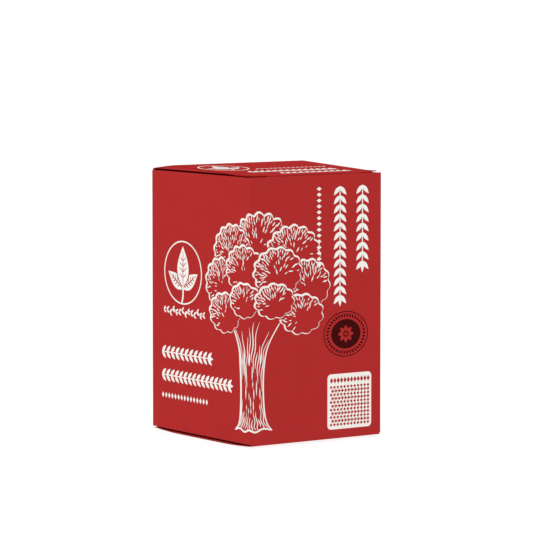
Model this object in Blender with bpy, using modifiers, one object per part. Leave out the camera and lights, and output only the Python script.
"""Folding carton of a mushroom grow kit: a tall reverse-tuck box of printed board.

Metres, +Z up. The origin is at the centre of the footprint, on the surface the carton stands on.
The front wall faces -Y and the left wall faces -X. The top lid is hinged on the back wall and tucks
behind the front wall. The bottom closure is the same, turned half a turn about the X axis.
"""

from math import ceil, cos, pi, radians, sin, tan

import bmesh
import bpy
from mathutils import Vector

# Driving dimensions
WIDTH = 0.1215              # outer width of the front and back walls, along X
DEPTH = 0.132              # outer width of the side walls, along Y
FRONT_HEIGHT = 0.200       # front wall, from the bottom crease to its cut top edge
BOARD = 0.0006             # thickness of the board
CLEARANCE = 0.0003         # gap between neighbouring pieces
LID_STEP = 0.0012          # how far a lid's crease lies beyond the dust flaps' creases
CREASE_REACH = 0.0007      # from a crease's axis to the panels that it joins
TOP_BOW = 0.0036           # how far the top lid springs up between its edges
BOTTOM_BOW = 0.0015        # how far the bottom lid stands down between its edges
LID_INSET = 0.001          # the lid's side edges stop this far inside the walls' outer faces
TUCK_HEIGHT = 0.022        # from the tuck crease to the flap's free edge
TUCK_LEAN = radians(8)     # the tuck flap leans inwards, so that it clears the wall as it swings out
TUCK_INSET = 0.003         # from the walls' outer faces to the tuck flap's ends
TUCK_CORNER = 0.013        # radius of its two free corners
SLIT_LENGTH = 0.016        # slits at both ends of the tuck crease
LUG_REACH = 0.0009         # how far the lid's ends go on past the tuck crease's axis, beyond the slits
LUG_CHAMFER = 0.0016       # cut off each of those ends' outer corners
SLIT_WIDTH = 0.0006        # board cut away from the tuck flap along each slit
DUST_LENGTH = 0.052        # how far the dust flaps reach in from the side walls
DUST_TAPER = radians(22)   # their hinge-side edge is cut back, so that the opening lid clears it
DUST_SIDE_GAP = 0.001      # from the hinge wall's inner face to the dust flap's root
DUST_SHOULDER = 0.0135     # from the tuck wall's outer face to the dust flap's root
DUST_FRONT = 0.005         # from the tuck wall's outer face to the dust flap's free front edge
DUST_SHOULDER_RUN = 0.0065 # over this length the flap's front edge slants out from its root
DUST_CORNER_CUT = (0.007, 0.010)    # taken off the flap's free front corner, along X and Y
GLUE_WIDTH = 0.014
GLUE_BOTTOM_GAP = 0.026    # the glue flap stops this far above the bottom crease, clear of the tuck flap
GLUE_TOP_GAP = 0.006       # and this far under the top
GLUE_SLANT = 0.006         # its ends are cut back by this much

# Heights that follow
CREASE_BOTTOM = BOTTOM_BOW                       # outer face of the bottom lid at its crease
DUST_BOTTOM = CREASE_BOTTOM + LID_STEP           # outer face of the bottom dust flaps
DUST_TOP = CREASE_BOTTOM + FRONT_HEIGHT          # outer face of the top dust flaps
LID_AXIS_RISE = LID_STEP - BOARD / 2             # from that face to the lid's hinge axis
HALF_WIDTH = WIDTH / 2
HALF_DEPTH = DEPTH / 2

# The same red print on every panel, as the light takes it on each
FRONT_RED = (0.407, 0.026, 0.025)
SIDE_RED = (0.439, 0.028, 0.027)
LID_RED = (0.445, 0.029, 0.027)

for leftover in list(bpy.context.scene.objects):
    bpy.data.objects.remove(leftover, do_unlink=True)

carton = bpy.data.collections.new("mushroom_grow_kit_carton")
bpy.context.scene.collection.children.link(carton)


def board_material(name, colour):
    """Matt printed board in one colour."""
    material = bpy.data.materials.new(name)
    material.use_nodes = True
    shader = material.node_tree.nodes["Principled BSDF"]
    shader.inputs["Base Color"].default_value = (*colour, 1.0)
    shader.inputs["Roughness"].default_value = 0.55
    shader.inputs["Metallic"].default_value = 0.0
    material.diffuse_color = (*colour, 1.0)
    return material


def rounded_outline(corners):
    """Corners given as (x, y, radius), in order, with each rounded corner as an arc."""
    points = []
    for index, (x, y, radius) in enumerate(corners):
        here = Vector((x, y))
        if radius == 0:
            points.append(here)
            continue
        before = Vector(corners[index - 1][:2])
        after = Vector(corners[(index + 1) % len(corners)][:2])
        back = (before - here).normalized()
        ahead = (after - here).normalized()
        half_angle = back.angle(ahead) / 2
        start = here + back * (radius / tan(half_angle))
        centre = here + (back + ahead).normalized() * (radius / sin(half_angle))
        turn = (start - centre).angle_signed(here + ahead * (radius / tan(half_angle)) - centre)
        steps = max(2, ceil(abs(turn) / radians(15)))
        spoke = start - centre
        for step in range(steps + 1):
            angle = -turn * step / steps
            points.append(centre + Vector((
                spoke.x * cos(angle) - spoke.y * sin(angle),
                spoke.x * sin(angle) + spoke.y * cos(angle),
            )))
    return points


def flat_panel(name, points, thickness, colour):
    """A flat outline in its own XY plane, extruded by half its thickness to both sides."""
    curve = bpy.data.curves.new(name, "CURVE")
    curve.dimensions = "2D"
    curve.fill_mode = "BOTH"
    curve.extrude = thickness / 2
    spline = curve.splines.new("POLY")
    spline.points.add(len(points) - 1)
    for point, place in zip(spline.points, points):
        point.co = (place[0], place[1], 0, 1)
    spline.use_cyclic_u = True
    panel = bpy.data.objects.new(name, curve)
    panel.data.materials.append(board_material(name + "_board", colour))
    carton.objects.link(panel)
    return panel


def wall(name, width, depth_offset, turn, bottom, top, colour):
    """One upright wall: a mitred strip in plan, turned about the carton's axis to its side."""
    mitre_gap = CLEARANCE / 2 * 2 ** 0.5
    half = width / 2 - mitre_gap
    plan = [
        (-half, -depth_offset),
        (half, -depth_offset),
        (half - BOARD, -depth_offset + BOARD),
        (-half + BOARD, -depth_offset + BOARD),
    ]
    panel = flat_panel(name, plan, top - bottom, colour)
    panel.location = (0, 0, (bottom + top) / 2)
    panel.rotation_euler = (0, 0, turn)
    return panel


def top_bow(share):
    """Height of the top lid's middle surface over its crease, by share of the way to the tuck edge."""
    ridge, foot = 0.24, 0.87
    if share < ridge:
        return TOP_BOW * (1 - (1 - share / ridge) ** 1.2)
    if share < foot:
        return TOP_BOW * (foot - share) / (foot - ridge)
    return 0


def bottom_bow(share):
    """The same for the bottom lid, flat over its middle where the carton stands on it."""
    rise, fall = 0.27, 0.73
    if share < rise:
        return BOTTOM_BOW * sin(pi / 2 * share / rise)
    if share > fall:
        return BOTTOM_BOW * sin(pi / 2 * (1 - share) / (1 - fall))
    return BOTTOM_BOW


def bowed_lid(name, length, bow, colour):
    """The lid: an open sheet bowed along Y and given the board's thickness.

    Its own origin is on the hinge axis, and it reaches towards -Y. Past the tuck crease only its two
    ends go on, over the wall's cut edge, where the slits part them from the tuck flap.
    """
    rows = 24
    half = HALF_WIDTH - LID_INSET
    columns = [-half, SLIT_LENGTH - HALF_WIDTH, HALF_WIDTH - SLIT_LENGTH, half]
    sheet = bmesh.new()
    bmesh.ops.create_grid(sheet, x_segments=len(columns) - 1, y_segments=rows + 1, size=0.5)
    for vertex in sheet.verts:
        column = round((vertex.co.x + 0.5) * (len(columns) - 1))
        row = round((0.5 - vertex.co.y) * (rows + 1))
        reach = CREASE_REACH + (length - 2 * CREASE_REACH) * row / rows
        side = columns[column]
        if row > rows:
            reach = length + LUG_REACH
            side = max(-half + LUG_CHAMFER, min(half - LUG_CHAMFER, side))
        vertex.co = (side, -reach, bow(min(reach / length, 1)))
    middle = [f for f in sheet.faces if abs(f.calc_center_median().x) < 0.01]
    last = min(middle, key=lambda f: f.calc_center_median().y)
    bmesh.ops.delete(sheet, geom=[last], context="FACES")
    mesh = bpy.data.meshes.new(name)
    sheet.to_mesh(mesh)
    sheet.free()
    mesh.materials.append(board_material(name + "_board", colour))
    lid = bpy.data.objects.new(name, mesh)
    carton.objects.link(lid)
    thickness = lid.modifiers.new("board_thickness", "SOLIDIFY")
    thickness.thickness = BOARD
    thickness.offset = 0
    return lid


def dust_flap_outline(side):
    """Dust flap reaching in along +X (side 1) or -X (side -1), its lid hinge towards +Y."""
    root_back = HALF_DEPTH - BOARD - DUST_SIDE_GAP
    root_front = -HALF_DEPTH + DUST_SHOULDER
    front = -HALF_DEPTH + DUST_FRONT
    tip_back = root_back - (DUST_LENGTH - CREASE_REACH) * tan(DUST_TAPER)
    corners = [
        (CREASE_REACH, root_front, 0),
        (CREASE_REACH + DUST_SHOULDER_RUN, front, 0.003),
        (DUST_LENGTH - DUST_CORNER_CUT[0], front, 0.004),
        (DUST_LENGTH, front + DUST_CORNER_CUT[1], 0.004),
        (DUST_LENGTH, tip_back, 0.006),
        (CREASE_REACH, root_back, 0),
    ]
    if side < 0:
        corners = [(-x, y, radius) for x, y, radius in reversed(corners)]
    return rounded_outline(corners)


def tuck_flap_outline():
    """Tuck flap seen flat: its crease along X, its free edge towards +Y, its outer corners round."""
    end = HALF_WIDTH - TUCK_INSET
    crease_end = HALF_WIDTH - SLIT_LENGTH
    shoulder = CREASE_REACH + SLIT_WIDTH
    return rounded_outline([
        (-crease_end, CREASE_REACH, 0),
        (-crease_end, shoulder, 0),
        (-end, shoulder, 0),
        (-end, TUCK_HEIGHT, TUCK_CORNER),
        (end, TUCK_HEIGHT, TUCK_CORNER),
        (end, shoulder, 0),
        (crease_end, shoulder, 0),
        (crease_end, CREASE_REACH, 0),
    ])


def closure(prefix, height, turn, bow, colour):
    """Lid, tuck flap and two dust flaps round an empty on the plane of the dust flaps' outer faces.

    In the empty's own frame the lid's hinge is towards +Y and outside is +Z.
    """
    seat = bpy.data.objects.new(prefix + "_closure", None)
    seat.location = (0, 0, height)
    seat.rotation_euler = (turn, 0, 0)
    carton.objects.link(seat)

    hinge_y = HALF_DEPTH - BOARD / 2
    tuck_y = -HALF_DEPTH + BOARD + CLEARANCE + BOARD / 2
    lid = bowed_lid(prefix + "_lid", hinge_y - tuck_y, bow, colour)
    lid.parent = seat
    lid.location = (0, hinge_y, LID_AXIS_RISE)

    tuck = flat_panel(prefix + "_tuck_flap", tuck_flap_outline(), BOARD, colour)
    tuck.parent = lid
    tuck.location = (0, tuck_y - hinge_y, 0)
    tuck.rotation_euler = (TUCK_LEAN - pi / 2, 0, 0)

    for word, side in (("left", 1), ("right", -1)):
        flap = flat_panel(prefix + "_dust_flap_" + word, dust_flap_outline(side), BOARD, colour)
        flap.parent = seat
        flap.location = (-side * (HALF_WIDTH - BOARD / 2), 0, -BOARD / 2)


lid_axis_top = DUST_TOP + LID_AXIS_RISE
lid_axis_bottom = DUST_BOTTOM - LID_AXIS_RISE
side_bottom = DUST_BOTTOM + BOARD / 2 + CREASE_REACH
side_top = DUST_TOP - BOARD / 2 - CREASE_REACH
wall("front_wall", WIDTH, HALF_DEPTH, 0, lid_axis_bottom + CREASE_REACH, DUST_TOP, FRONT_RED)
wall("back_wall", WIDTH, HALF_DEPTH, pi, DUST_BOTTOM, lid_axis_top - CREASE_REACH, FRONT_RED)
wall("left_wall", DEPTH, HALF_WIDTH, -pi / 2, side_bottom, side_top, SIDE_RED)
wall("right_wall", DEPTH, HALF_WIDTH, pi / 2, side_bottom, side_top, SIDE_RED)

# The glue flap runs up the back right corner, inside the back wall, with its ends cut back at a slant.
glue_bottom = DUST_BOTTOM + GLUE_BOTTOM_GAP
glue_top = DUST_TOP - GLUE_TOP_GAP
glue_flap = flat_panel("glue_flap", [
    (0, glue_bottom), (GLUE_WIDTH, glue_bottom + GLUE_SLANT),
    (GLUE_WIDTH, glue_top - GLUE_SLANT), (0, glue_top),
], BOARD, SIDE_RED)
inside = BOARD + CLEARANCE
glue_flap.location = (HALF_WIDTH - inside, HALF_DEPTH - inside - BOARD / 2, 0)
glue_flap.rotation_euler = (pi / 2, 0, pi)

closure("top", DUST_TOP, 0, top_bow, LID_RED)
closure("bottom", DUST_BOTTOM, pi, bottom_bow, LID_RED)
bpy.context.view_layer.update()
